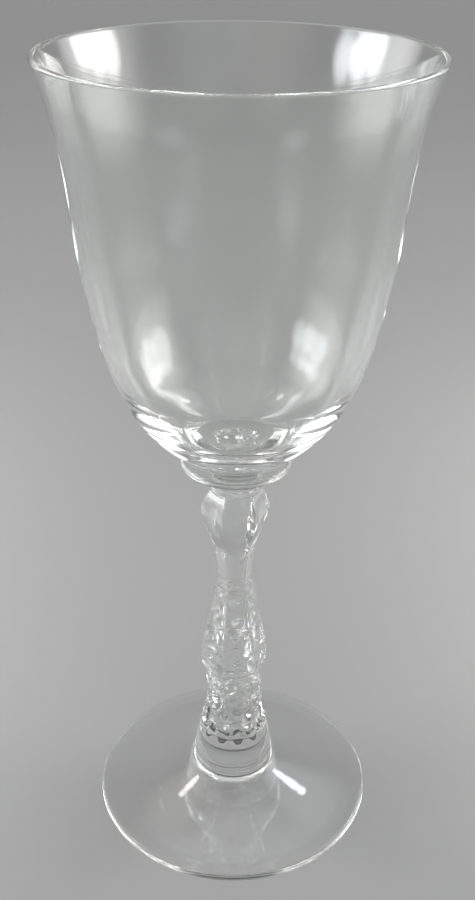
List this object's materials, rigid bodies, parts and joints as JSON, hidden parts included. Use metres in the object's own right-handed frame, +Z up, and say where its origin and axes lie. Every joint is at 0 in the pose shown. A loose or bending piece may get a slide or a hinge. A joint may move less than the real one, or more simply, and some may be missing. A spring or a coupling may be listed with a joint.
{
  "type": "water goblet",
  "caption": "Stemmed water goblet in clear glass: a flared bell bowl on a wafer disc, a pressed hexagonal baluster stem with beaded knops and a round sloping foot.",
  "frame": {"origin": "middle of the plane that the foot stands on, on the axis of the goblet", "axes": "+Z up along the axis to the rim; one flat panel of the six-sided stem faces -Y"},
  "size_m": [0.0854, 0.0854, 0.2],
  "materials": {
    "blown_glass": "clear fire-polished glass, smooth, with the faint waviness of blown work",
    "pressed_glass": "clear pressed glass, fire-polished, with soft mould edges"
  },
  "bodies": {
    "root": {"foot": "blown_glass", "stem": "pressed_glass", "wafer": "pressed_glass", "bowl": "blown_glass"}
  },
  "joints": []
}
